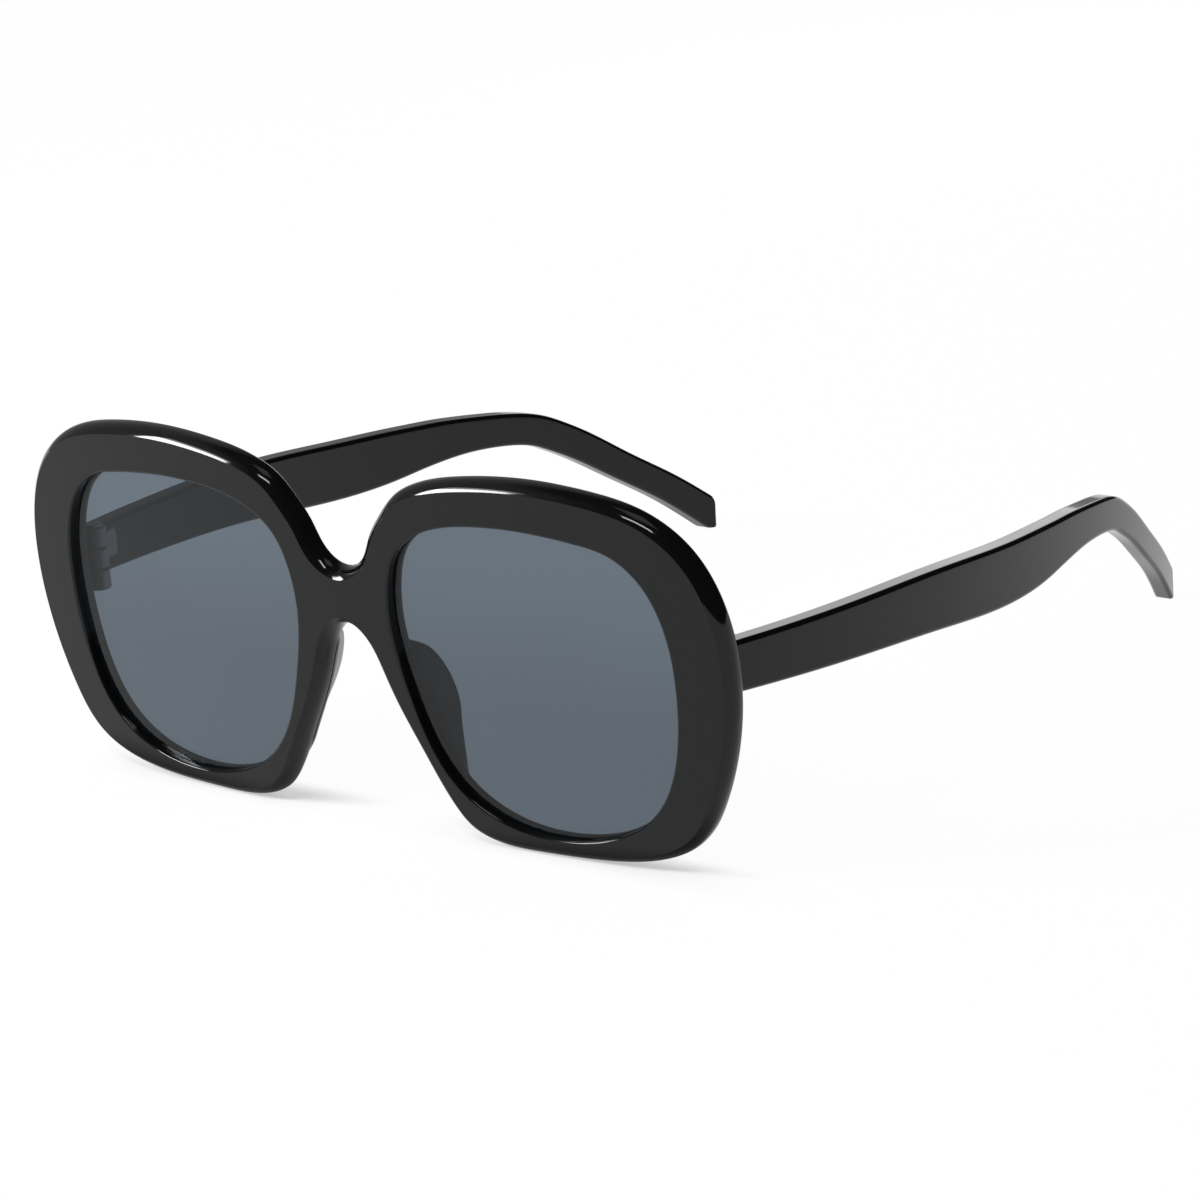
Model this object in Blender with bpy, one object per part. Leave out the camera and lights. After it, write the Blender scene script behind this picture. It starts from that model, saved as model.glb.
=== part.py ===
"""Large oval sunglasses, open, standing on both rims and both temple tips.

Metres, +Z up. The front faces -Y and the temples run back to +Y. The wearer's left is +X.
"""
import math

import bmesh
import bpy
import numpy as np
from mathutils import Matrix, Vector

for old in list(bpy.data.objects):
    bpy.data.objects.remove(old, do_unlink=True)

# Clearances
FIT_GAP = 0.0003
CUT_OVERRUN = 0.002
FOOT_FLAT = 0.00015

# Front: one bent plate with two rims, a bridge and two end pieces
LENS_WIDTH = 0.0521
LENS_HEIGHT = 0.0499
BRIDGE_WIDTH = 0.0193
SIDE_RIM = 0.0100
UPPER_RIM = 0.0075
LOWER_RIM = 0.0033
FRONT_THICKNESS = 0.0038
FRONT_BEND_RADIUS = 0.516
FRONT_LEAN_DEGREES = 3.6
FRONT_EDGE_RADIUS = 0.0019
REAR_EDGE_RADIUS = 0.0008
OUTLINE_POINTS = 144
# Half outline from the top of the bridge round the rim to the bridge arch: across, up
OUTLINE_SHARES = (
    (0.0, 0.701), (0.062, 0.739), (0.091, 0.803), (0.129, 0.867), (0.175, 0.923),
    (0.236, 0.958), (0.364, 0.989), (0.496, 1.0), (0.690, 0.984), (0.816, 0.946),
    (0.921, 0.856), (0.981, 0.721), (1.0, 0.567), (0.975, 0.340), (0.929, 0.194),
    (0.896, 0.126), (0.849, 0.071), (0.791, 0.037), (0.661, 0.007), (0.465, 0.0),
    (0.335, 0.011), (0.275, 0.040), (0.231, 0.096), (0.165, 0.230), (0.103, 0.371),
    (0.076, 0.450), (0.050, 0.511), (0.0, 0.549),
)

# Lens openings
OPENING_EDGE_RADIUS = 0.0005
OPENING_POINTS = 72
# Opening outline from the upper nasal corner, clockwise: across from the nose, up
OPENING_SHARES = (
    (0.059, 0.879), (0.147, 0.947), (0.372, 0.997), (0.486, 1.0), (0.716, 0.979),
    (0.824, 0.952), (0.915, 0.880), (0.971, 0.774), (1.0, 0.537), (0.968, 0.300),
    (0.925, 0.192), (0.851, 0.100), (0.752, 0.041), (0.530, 0.0), (0.307, 0.042),
    (0.208, 0.101), (0.130, 0.190), (0.041, 0.411), (0.0, 0.644), (0.012, 0.766),
)

# Lenses, held in a groove
LENS_THICKNESS = 0.0016
FRONT_LIP = 0.0009
GROOVE_DEPTH = 0.0009
LENS_RING_SHARES = (1.0, 0.78, 0.52, 0.26)

# Nose pads: curved fins behind the nasal side of each rim
PAD_DROP = 0.0023
PAD_HEIGHT = 0.0240
PAD_DEPTH = 0.0065
PAD_FLARE = 0.0022
PAD_THICKNESS = 0.0030
PAD_INSET = 0.0022
PAD_TIP_SHARE = 0.62
PAD_STATIONS = 15
PAD_RING_ARC = 5
# How far the fin stands out along its length, from top to bottom
PAD_REACH_SHARES = (
    (0.0, 0.32), (0.11, 0.75), (0.22, 0.94), (0.335, 1.0), (0.45, 0.95), (0.56, 0.78),
    (0.675, 0.57), (0.79, 0.37), (0.89, 0.20), (1.0, 0.08),
)

# Temples: side profile along a centre line, bowed outward in plan
TEMPLE_LENGTH = 0.1429
TEMPLE_THICKNESS = 0.0038
END_PIECE_INSET = 0.0037
TEMPLE_BOW = 0.0046
TEMPLE_TIP_INSET = 0.0172
TEMPLE_EDGE_RADIUS = 0.0007
TIP_CORNER_RADIUS = 0.0016
BLADE_HEIGHT = 0.0101
TIP_END_HEIGHT = 0.0021
HINGE_HEIGHT = 0.0331
TEMPLE_STATIONS = 42
TIP_STATIONS = 6
TIP_CUT_LENGTH = 0.006
# Centre line from the hinge to the tip: along, up as a share of the hinge height
CENTRE_SHARES = (
    (0.0, 1.0), (0.181, 0.962), (0.336, 0.923), (0.469, 0.868), (0.560, 0.853),
    (0.641, 0.852), (0.708, 0.828), (0.743, 0.803), (0.771, 0.768), (0.799, 0.707),
    (0.827, 0.634), (0.883, 0.462), (0.943, 0.276),
)
# Height across the centre line: along, share of the blade height
HEIGHT_SHARES = (
    (0.0, 0.793), (0.181, 0.876), (0.336, 0.966), (0.431, 0.996), (0.490, 0.977),
    (0.560, 0.887), (0.600, 0.787), (0.641, 0.695), (0.701, 0.594), (0.743, 0.568),
    (0.799, 0.551), (0.883, 0.504), (1.0, 0.503),
)

# Hinges: three knuckles on a screw, the middle one on the temple
KNUCKLE_RADIUS = 0.0019
BARREL_HEIGHT = 0.0104
SCREW_RADIUS = 0.0007
SCREW_HEAD_RADIUS = 0.0013
SCREW_HEAD_HEIGHT = 0.0006
SLOT_WIDTH = 0.0004
SLOT_DEPTH = 0.0003
ROUND_SIDES = 24
WEB_INSET = 0.0002
ANCHOR_WIDTH = 0.005
ANCHOR_HEIGHT = 0.0088
ANCHOR_THICKNESS = 0.0012
LEAF_LENGTH = 0.009
LEAF_HEIGHT = 0.0046
LEAF_THICKNESS = 0.001
LEAF_START = 0.0012

# Core wires
CORE_HEIGHT = 0.0026
CORE_THICKNESS = 0.001
CORE_END_SHARE = 0.93
CORE_STATIONS = 30

FRONT_LEAN = math.radians(FRONT_LEAN_DEGREES)
HALF_WIDTH = BRIDGE_WIDTH / 2 + LENS_WIDTH + SIDE_RIM
FRONT_HEIGHT = LOWER_RIM + LENS_HEIGHT + UPPER_RIM
ARCH_HEIGHT = OUTLINE_SHARES[-1][1] * FRONT_HEIGHT
TEMPLE_OFFSET = HALF_WIDTH - END_PIECE_INSET
GROOVE_START = FRONT_LIP
GROOVE_END = FRONT_LIP + LENS_THICKNESS + 2 * FIT_GAP
KNUCKLE_HEIGHT = (BARREL_HEIGHT - 2 * FIT_GAP) / 3
SIDES = ("left", "right")


def hand(side):
    """The wearer's left is on the +X side, and the right mirrors it."""
    return 1 if side == "left" else -1


# Curves

def spline(points, count, closed=False):
    """A cubic spline through the points, read at even steps of the distance between them."""
    p = np.array(points, float)
    if closed:
        p = np.vstack([p, p[:1]])
    steps = np.hypot(*np.diff(p, axis=0).T)
    at = np.concatenate([[0.0], np.cumsum(steps)])
    n = len(p)
    matrix = np.zeros((n, n))
    right = np.zeros((n, p.shape[1]))
    for i in range(1, n - 1):
        matrix[i, i - 1] = steps[i - 1]
        matrix[i, i] = 2 * (steps[i - 1] + steps[i])
        matrix[i, i + 1] = steps[i]
        right[i] = 6 * ((p[i + 1] - p[i]) / steps[i] - (p[i] - p[i - 1]) / steps[i - 1])
    if closed:
        matrix[0, 0] = 2 * (steps[-1] + steps[0])
        matrix[0, 1] = steps[0]
        matrix[0, -2] = steps[-1]
        right[0] = 6 * ((p[1] - p[0]) / steps[0] - (p[0] - p[-2]) / steps[-1])
        matrix[-1, 0] = 1
        matrix[-1, -1] = -1
    else:
        matrix[0, 0] = 1
        matrix[-1, -1] = 1
    bend = np.linalg.solve(matrix, right)
    wanted = np.linspace(0, at[-1], count, endpoint=not closed)
    k = np.clip(np.searchsorted(at, wanted, side="right") - 1, 0, n - 2)
    step = steps[k][:, None]
    a = (at[k + 1] - wanted)[:, None] / step
    b = 1 - a
    return a * p[k] + b * p[k + 1] + ((a**3 - a) * bend[k] + (b**3 - b) * bend[k + 1]) * step**2 / 6


def read(shares, at):
    """A table of shares read at a place with a smooth curve through its points."""
    table = spline(shares, 200)
    return np.interp(at, table[:, 0], table[:, 1])


def offset(loop, distance):
    """A closed loop moved square to itself, outward of a clockwise loop for a positive distance."""
    ahead = np.roll(loop, -1, axis=0) - np.roll(loop, 1, axis=0)
    ahead /= np.linalg.norm(ahead, axis=1)[:, None]
    return loop + distance * np.stack([-ahead[:, 1], ahead[:, 0]], axis=1)


def outline():
    """The front's outer edge seen from in front, clockwise."""
    half = [(u * HALF_WIDTH, v * FRONT_HEIGHT) for u, v in OUTLINE_SHARES]
    mirrored = [(-u, v) for u, v in half[-2:0:-1]]
    return spline(half + mirrored, OUTLINE_POINTS, closed=True)


def opening():
    """The left lens opening seen from in front, clockwise."""
    points = [(BRIDGE_WIDTH / 2 + u * LENS_WIDTH, LOWER_RIM + v * LENS_HEIGHT) for u, v in OPENING_SHARES]
    return spline(points, OPENING_POINTS, closed=True)


# Placing on the bent and leaning front

def bent(u, v, depth):
    """A point across, up and behind the front's face, on the bent front that leans forward on the table."""
    radius = FRONT_BEND_RADIUS - depth
    x = radius * np.sin(u / FRONT_BEND_RADIUS)
    y = FRONT_BEND_RADIUS - radius * np.cos(u / FRONT_BEND_RADIUS)
    back = y * math.cos(FRONT_LEAN) - v * math.sin(FRONT_LEAN)
    up = y * math.sin(FRONT_LEAN) + v * math.cos(FRONT_LEAN)
    return np.stack([x, back, up], axis=-1)


OUTLINE = outline()
OPENING = opening()
FRONT_LIFT = -FOOT_FLAT - bent(OUTLINE[:, 0], OUTLINE[:, 1], FRONT_EDGE_RADIUS)[:, 2].min()


def on_front(loop, depth):
    """A loop at a depth, stood on the table: what would pass below is flattened there."""
    points = bent(loop[:, 0], loop[:, 1], depth)
    points[:, 2] = np.maximum(points[:, 2] + FRONT_LIFT, 0.0)
    return points


def rear_face_y(x, z, gap):
    """Where the back of the front is, a gap behind it, at a place across and up."""
    y = FRONT_BEND_RADIUS - np.sqrt((FRONT_BEND_RADIUS - FRONT_THICKNESS - gap) ** 2 - x**2)
    return y / math.cos(FRONT_LEAN) - math.tan(FRONT_LEAN) * (z - FRONT_LIFT)


def front_height_at(x, z):
    """The height up the front's own face of a place on its back."""
    y = FRONT_BEND_RADIUS - math.sqrt((FRONT_BEND_RADIUS - FRONT_THICKNESS) ** 2 - x**2)
    return (z - FRONT_LIFT - y * math.sin(FRONT_LEAN)) / math.cos(FRONT_LEAN)


# Placing along a temple

TEMPLE_START = float(rear_face_y(TEMPLE_OFFSET, HINGE_HEIGHT, FIT_GAP))
BOW_RISE = 2 * TEMPLE_BOW + 2 * math.sqrt(TEMPLE_BOW**2 + TEMPLE_BOW * TEMPLE_TIP_INSET)
BOW_FALL = BOW_RISE + TEMPLE_TIP_INSET
CENTRE_POINTS = [(TEMPLE_LENGTH * along, HINGE_HEIGHT * up) for along, up in CENTRE_SHARES]
CENTRE_POINTS.append((TEMPLE_LENGTH, TIP_END_HEIGHT))
CENTRE_LINE = spline(CENTRE_POINTS, 400)
CENTRE_LENGTH = float(np.hypot(*np.diff(CENTRE_LINE, axis=0).T).sum())


def temple_face_x(y):
    """The outer face of the left temple: it bows outward, then comes in to the tip."""
    along = (y - TEMPLE_START) / TEMPLE_LENGTH
    return TEMPLE_OFFSET + BOW_RISE * along - BOW_FALL * along**2


def centre_line(at):
    """Places (back, up) and directions on the temple's centre line at shares of its length."""
    fine = CENTRE_LINE
    index = np.linspace(0, 1, len(fine))
    place = np.stack([np.interp(at, index, fine[:, k]) for k in (0, 1)], axis=1)
    slope = np.gradient(fine, axis=0)
    ahead = np.stack([np.interp(at, index, slope[:, k]) for k in (0, 1)], axis=1)
    ahead /= np.linalg.norm(ahead, axis=1)[:, None]
    return place, ahead


def temple_section(place, ahead, section):
    """A section (inward from the outer face, across the centre line) set square on the centre line."""
    y = TEMPLE_START + place[0] - section[:, 1] * ahead[1]
    z = place[1] + section[:, 1] * ahead[0]
    return np.stack([temple_face_x(y) - section[:, 0], y, z], axis=1)


# Hinge axis of the left temple

HINGE_Y = (
    float(rear_face_y(TEMPLE_OFFSET - TEMPLE_THICKNESS, HINGE_HEIGHT - BARREL_HEIGHT / 2, FIT_GAP))
    + KNUCKLE_RADIUS
)
HINGE_X = float(temple_face_x(HINGE_Y)) - TEMPLE_THICKNESS - FIT_GAP - KNUCKLE_RADIUS
HINGE = Vector((HINGE_X, HINGE_Y, HINGE_HEIGHT))


# Building solids

def material(name, colour, roughness, metallic=0.0, alpha=1.0):
    made = bpy.data.materials.new(name)
    made.use_nodes = True
    shader = made.node_tree.nodes["Principled BSDF"]
    shader.inputs["Base Color"].default_value = (*colour, 1.0)
    shader.inputs["Roughness"].default_value = roughness
    shader.inputs["Metallic"].default_value = metallic
    shader.inputs["Alpha"].default_value = alpha
    return made


BLACK = material("black_plastic", (0.012, 0.012, 0.013), 0.12)
PAD_BLACK = material("pad_plastic", (0.014, 0.014, 0.015), 0.2)
TINT = material("grey_lens", (0.10, 0.13, 0.15), 0.05, alpha=0.6)
STEEL = material("hinge_metal", (0.35, 0.35, 0.36), 0.35, metallic=1.0)
SCREW_STEEL = material("screw_metal", (0.5, 0.5, 0.5), 0.3, metallic=1.0)
WIRE = material("core_wire_metal", (0.6, 0.58, 0.54), 0.4, metallic=1.0)


def mesh_object(name, bm, finish, smooth_angle=None):
    """A closed mesh as a named object with its faces pointing out."""
    bmesh.ops.recalc_face_normals(bm, faces=bm.faces)
    mesh = bpy.data.meshes.new(name)
    bm.to_mesh(mesh)
    bm.free()
    mesh.materials.append(finish)
    if smooth_angle is not None:
        mesh.shade_smooth()
        mesh.set_sharp_from_angle(angle=smooth_angle)
    made = bpy.data.objects.new(name, mesh)
    bpy.context.scene.collection.objects.link(made)
    return made


def add_loop(bm, points, side):
    return [bm.verts.new((side * x, y, z)) for x, y, z in points]


def bridge(bm, first, second):
    """Quads between two loops with as many points."""
    count = len(first)
    for i in range(count):
        j = (i + 1) % count
        bm.faces.new((first[i], first[j], second[j], second[i]))


def sweep(bm, loops, side):
    """Quads between loops in turn, closed at both ends."""
    rows = [add_loop(bm, loop, side) for loop in loops]
    for first, second in zip(rows, rows[1:]):
        bridge(bm, first, second)
    bm.faces.new(rows[0])
    bm.faces.new(rows[-1])


def fill_between(bm, loops):
    """Triangles inside the first loop and outside the others."""
    edges = []
    for loop in loops:
        for i, vertex in enumerate(loop):
            edges.append(bm.edges.get((vertex, loop[(i + 1) % len(loop)])))
    bmesh.ops.triangle_fill(bm, use_beauty=True, use_dissolve=False, edges=edges)


def prism(name, corners, low, high, finish, side):
    """An upright prism over a flat outline."""
    bm = bmesh.new()
    rings = [[(x, y, z) for x, y in corners] for z in (low, high)]
    sweep(bm, rings, side)
    return mesh_object(name, bm, finish)


def cylinder(name, radius, low, high, finish, side):
    turns = [2 * math.pi * i / ROUND_SIDES for i in range(ROUND_SIDES)]
    corners = [(HINGE.x + radius * math.cos(t), HINGE.y + radius * math.sin(t)) for t in turns]
    return prism(name, corners, low, high, finish, side)


def apply_boolean(base, tools, operation):
    """Joins or cuts with each tool in turn, then removes the tools."""
    for tool in tools:
        cut = base.modifiers.new("combine", "BOOLEAN")
        cut.object = tool
        cut.operation = operation
        cut.solver = "EXACT"
    bpy.context.view_layer.update()
    graph = bpy.context.evaluated_depsgraph_get()
    mesh = bpy.data.meshes.new_from_object(base.evaluated_get(graph))
    base.modifiers.clear()
    base.data = mesh
    mesh.name = base.name
    for tool in tools:
        bpy.data.objects.remove(tool, do_unlink=True)
    return base


def set_origin(piece, origin, parent=None):
    """Moves the piece's origin to a point, with the piece left where it is, and parents it."""
    piece.data.transform(Matrix.Translation(-origin))
    piece.location = origin
    if parent is not None:
        piece.parent = parent
        piece.location = origin - parent.location
    return piece


def empty(name, location, parent=None):
    made = bpy.data.objects.new(name, None)
    bpy.context.scene.collection.objects.link(made)
    made.location = location
    made.parent = parent
    return made


# Front frame

def quarter(radius, steps, depth, towards_back):
    """(inset, depth) of a rounded edge that starts on the front face, or ends on the back face."""
    turns = [math.pi / 2 * i / steps for i in range(steps + 1)]
    rows = [(radius * (1 - math.sin(t)), radius * (1 - math.cos(t))) for t in turns]
    if towards_back:
        return [(inset, depth - down) for inset, down in reversed(rows)]
    return rows


def front_frame():
    bm = bmesh.new()
    edge = quarter(FRONT_EDGE_RADIUS, 5, FRONT_THICKNESS, False)
    edge += quarter(REAR_EDGE_RADIUS, 3, FRONT_THICKNESS, True)
    outer = [add_loop(bm, on_front(offset(OUTLINE, -inset), depth), 1) for inset, depth in edge]
    for first, second in zip(outer, outer[1:]):
        bridge(bm, first, second)
    wall = quarter(OPENING_EDGE_RADIUS, 2, FRONT_THICKNESS, False)
    wall += [(0.0, GROOVE_START), (GROOVE_DEPTH, GROOVE_START), (GROOVE_DEPTH, GROOVE_END), (0.0, GROOVE_END)]
    wall += quarter(OPENING_EDGE_RADIUS, 2, FRONT_THICKNESS, True)
    fronts = [outer[0]]
    backs = [outer[-1]]
    for side in SIDES:
        rows = [add_loop(bm, on_front(offset(OPENING, grow), depth), hand(side)) for grow, depth in wall]
        for first, second in zip(rows, rows[1:]):
            bridge(bm, first, second)
        fronts.append(rows[0])
        backs.append(rows[-1])
    fill_between(bm, fronts)
    fill_between(bm, backs)
    made = mesh_object("front_frame", bm, BLACK)
    apply_boolean(made, [anchor_box("pocket_" + s, s, FIT_GAP, CUT_OVERRUN) for s in SIDES], "DIFFERENCE")
    made.data.shade_smooth()
    made.data.set_sharp_from_angle(angle=math.radians(35))
    return made


def anchor_box(name, side, gap, overrun):
    """The hinge's anchor plate in the back of the end piece, grown by a gap for its pocket."""
    inner = HINGE_ANCHOR_X - gap
    outer = HINGE_ANCHOR_X + ANCHOR_WIDTH + gap
    middle = front_height_at(HINGE_ANCHOR_X, HINGE_HEIGHT)
    half = ANCHOR_HEIGHT / 2 + gap
    back_radius = FRONT_BEND_RADIUS - FRONT_THICKNESS
    across = [FRONT_BEND_RADIUS * math.asin(x / back_radius) for x in (inner, outer)]
    bm = bmesh.new()
    rings = []
    for depth in (FRONT_THICKNESS - ANCHOR_THICKNESS - gap, FRONT_THICKNESS + overrun):
        corners = [(across[0], -half), (across[1], -half), (across[1], half), (across[0], half)]
        loop = np.array([(u, middle + v) for u, v in corners])
        rings.append(on_front(loop, depth))
    sweep(bm, rings, hand(side))
    return mesh_object(name, bm, STEEL)


# The anchor's nasal edge stands one thickness inside the temple's inner face
HINGE_ANCHOR_X = TEMPLE_OFFSET - TEMPLE_THICKNESS - ANCHOR_THICKNESS


def lens(side):
    bm = bmesh.new()
    rim = offset(OPENING, GROOVE_DEPTH - FIT_GAP)
    centre = rim.mean(axis=0)
    faces = []
    for depth in (GROOVE_START + FIT_GAP, GROOVE_START + FIT_GAP + LENS_THICKNESS):
        rings = [on_front(centre + share * (rim - centre), depth) for share in LENS_RING_SHARES]
        rows = [add_loop(bm, ring, hand(side)) for ring in rings]
        for first, second in zip(rows, rows[1:]):
            bridge(bm, first, second)
        middle = add_loop(bm, on_front(centre[None, :], depth), hand(side))[0]
        inner = rows[-1]
        for i, vertex in enumerate(inner):
            bm.faces.new((vertex, inner[(i + 1) % len(inner)], middle))
        faces.append(rows[0])
    bridge(bm, faces[0], faces[1])
    return mesh_object("lens_" + side, bm, TINT, math.radians(35))


def nasal_edge(height):
    """How far across the front's outline is at a height on its nasal side."""
    half = OUTLINE[: OUTLINE_POINTS // 2 + 1]
    lowest = half[:, 1].argmin()
    nasal = half[lowest:]
    return float(np.interp(height, nasal[:, 1], nasal[:, 0]))


def nose_pad(side):
    """A fin that stands behind the rim's nasal side and flares outward."""
    bm = bmesh.new()
    loops = []
    turns = [math.pi * i / (PAD_RING_ARC - 1) for i in range(PAD_RING_ARC)]
    base = PAD_THICKNESS / 2
    for along in np.linspace(0, 1, PAD_STATIONS):
        height = ARCH_HEIGHT - PAD_DROP - PAD_HEIGHT * along
        reach = float(read(PAD_REACH_SHARES, along))
        across = nasal_edge(height) + PAD_INSET
        tip = base * PAD_TIP_SHARE
        top = max(PAD_DEPTH * reach - tip, FIT_GAP)
        lean = PAD_FLARE * reach
        section = [(-base, 0.0), (base, 0.0)]
        section += [(lean + tip * math.cos(t), top + tip * math.sin(t)) for t in turns]
        points = [bent(across + u, height, FRONT_THICKNESS + FIT_GAP + depth) for u, depth in section]
        loops.append(np.array(points) + np.array((0.0, 0.0, FRONT_LIFT)))
    sweep(bm, loops, hand(side))
    return mesh_object("nose_pad_" + side, bm, PAD_BLACK, math.radians(60))


# Temples

def rounded_section(thickness, height, radius):
    """A rounded rectangle: inward from the outer face, across the centre line."""
    high = height / 2 - radius
    far = thickness - radius
    points = []
    for cx, cz, start in ((radius, high, 90), (radius, -high, 180), (far, -high, 270), (far, high, 0)):
        for step in range(4):
            turn = math.radians(start + 30 * step)
            points.append((cx + radius * math.cos(turn), cz + radius * math.sin(turn)))
    return np.array(points)


def cut_direction(ahead, left):
    """The direction a section is square to: the tip is cut upright, so it turns level towards the end."""
    slope = math.atan2(ahead[1], ahead[0])
    turned = slope * min(left / TIP_CUT_LENGTH, 1.0)
    return (math.cos(turned), math.sin(turned)), 1 / math.cos(slope - turned)


def temple_height(place, left, slant):
    """Height of a section, less near the end, where both corners are round."""
    height = BLADE_HEIGHT * read(HEIGHT_SHARES, place[0] / TEMPLE_LENGTH) * slant
    into = max(TIP_CORNER_RADIUS - left, 0.0)
    return height - 2 * (TIP_CORNER_RADIUS - math.sqrt(TIP_CORNER_RADIUS**2 - into**2))


def temple(side):
    bm = bmesh.new()
    turns = [math.pi / 2 * i / TIP_STATIONS for i in range(1, TIP_STATIONS)]
    lefts = [TIP_CORNER_RADIUS * (1 - math.sin(turn)) for turn in turns] + [0.0]
    at = np.linspace(0, 1 - TIP_CORNER_RADIUS / CENTRE_LENGTH, TEMPLE_STATIONS)
    at = np.concatenate([at, [1 - left / CENTRE_LENGTH for left in lefts]])
    places, aheads = centre_line(at)
    loops = []
    for share, place, ahead in zip(at, places, aheads):
        left = CENTRE_LENGTH * (1 - share)
        direction, slant = cut_direction(ahead, left)
        height = temple_height(place, left, slant)
        section = rounded_section(TEMPLE_THICKNESS, height, TEMPLE_EDGE_RADIUS)
        loops.append(temple_section(place, direction, section))
    loops[0][:, 1] = rear_face_y(loops[0][:, 0], loops[0][:, 2], FIT_GAP)
    for loop in loops:
        loop[:, 2] = np.maximum(loop[:, 2], 0.0)
    sweep(bm, loops, hand(side))
    made = mesh_object("temple_" + side, bm, BLACK)
    cutters = [leaf_box("leaf_pocket", side, FIT_GAP, CUT_OVERRUN), core_bar("core_channel", side, FIT_GAP)]
    apply_boolean(made, cutters, "DIFFERENCE")
    made.data.shade_smooth()
    made.data.set_sharp_from_angle(angle=math.radians(35))
    return made


def leaf_box(name, side, gap, overrun):
    """The hinge leaf in the temple's inner face, grown by a gap for its pocket."""
    bm = bmesh.new()
    outer = TEMPLE_THICKNESS - LEAF_THICKNESS - gap
    half = LEAF_HEIGHT / 2 + gap
    rings = []
    for y in (TEMPLE_START + LEAF_START - gap, TEMPLE_START + LEAF_START + LEAF_LENGTH + gap):
        x = float(temple_face_x(y))
        far = x - outer
        near = x - TEMPLE_THICKNESS - overrun
        rings.append([(near, y, HINGE_HEIGHT - half), (far, y, HINGE_HEIGHT - half),
                      (far, y, HINGE_HEIGHT + half), (near, y, HINGE_HEIGHT + half)])
    sweep(bm, rings, hand(side))
    return mesh_object(name, bm, STEEL)


def core_bar(name, side, gap):
    """The flat core wire along the temple, behind the hinge leaf, grown by a gap for its channel."""
    bm = bmesh.new()
    middle = TEMPLE_THICKNESS - LEAF_THICKNESS - FIT_GAP - CORE_THICKNESS / 2
    half = CORE_HEIGHT / 2 + gap
    first = (LEAF_START + LEAF_LENGTH / 4 - gap) / TEMPLE_LENGTH
    last = CORE_END_SHARE + gap / TEMPLE_LENGTH
    places, aheads = centre_line(np.linspace(first, last, CORE_STATIONS))
    near = middle - CORE_THICKNESS / 2 - gap
    far = middle + CORE_THICKNESS / 2 + gap
    section = np.array([(near, -half), (far, -half), (far, half), (near, half)])
    sweep(bm, [temple_section(p, a, section) for p, a in zip(places, aheads)], hand(side))
    return mesh_object(name, bm, WIRE)


# Hinges

def knuckle_span(place):
    """Bottom and top of a knuckle, counted from the lowest."""
    low = HINGE_HEIGHT - BARREL_HEIGHT / 2 + place * (KNUCKLE_HEIGHT + FIT_GAP)
    return low, low + KNUCKLE_HEIGHT


def bore(side):
    low = HINGE_HEIGHT - BARREL_HEIGHT / 2 - CUT_OVERRUN
    high = HINGE_HEIGHT + BARREL_HEIGHT / 2 + CUT_OVERRUN
    return cylinder("bore", SCREW_RADIUS + FIT_GAP, low, high, STEEL, hand(side))


def front_hinge(side):
    """An anchor plate with two arms that carry the lowest and the highest knuckle."""
    made = anchor_box("front_hinge_" + side, side, 0.0, 0.0)
    arm_outer = float(temple_face_x(TEMPLE_START)) - TEMPLE_THICKNESS - FIT_GAP
    face = float(rear_face_y(arm_outer, HINGE_HEIGHT - BARREL_HEIGHT / 2, FIT_GAP))
    inside = float(rear_face_y(arm_outer, HINGE_HEIGHT, 0.0)) - ANCHOR_THICKNESS / 2
    arm = [(HINGE.x, face), (HINGE_ANCHOR_X, face), (HINGE_ANCHOR_X, inside),
           (arm_outer, inside), (arm_outer, HINGE.y), (HINGE.x, HINGE.y)]
    tools = []
    for place in (0, 2):
        low, high = knuckle_span(place)
        low_web = max(low, HINGE_HEIGHT - ANCHOR_HEIGHT / 2) + WEB_INSET
        high_web = min(high, HINGE_HEIGHT + ANCHOR_HEIGHT / 2) - WEB_INSET
        tools.append(cylinder("knuckle", KNUCKLE_RADIUS, low, high, STEEL, hand(side)))
        tools.append(prism("arm", arm, low_web, high_web, STEEL, hand(side)))
    apply_boolean(made, tools, "UNION")
    return apply_boolean(made, [bore(side)], "DIFFERENCE")


def temple_hinge(side):
    """A plate in the temple's inner face that carries the middle knuckle."""
    made = leaf_box("temple_hinge_" + side, side, 0.0, 0.0)
    low, high = knuckle_span(1)
    web_outer = float(temple_face_x(HINGE.y)) - TEMPLE_THICKNESS + LEAF_THICKNESS / 2
    front = TEMPLE_START + LEAF_START
    back = HINGE.y + KNUCKLE_RADIUS
    web = [(HINGE.x, front), (web_outer, front), (web_outer, back), (HINGE.x, back)]
    tools = [
        cylinder("knuckle", KNUCKLE_RADIUS, low, high, STEEL, hand(side)),
        prism("web", web, low + WEB_INSET, high - WEB_INSET, STEEL, hand(side)),
    ]
    apply_boolean(made, tools, "UNION")
    return apply_boolean(made, [bore(side)], "DIFFERENCE")


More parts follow.
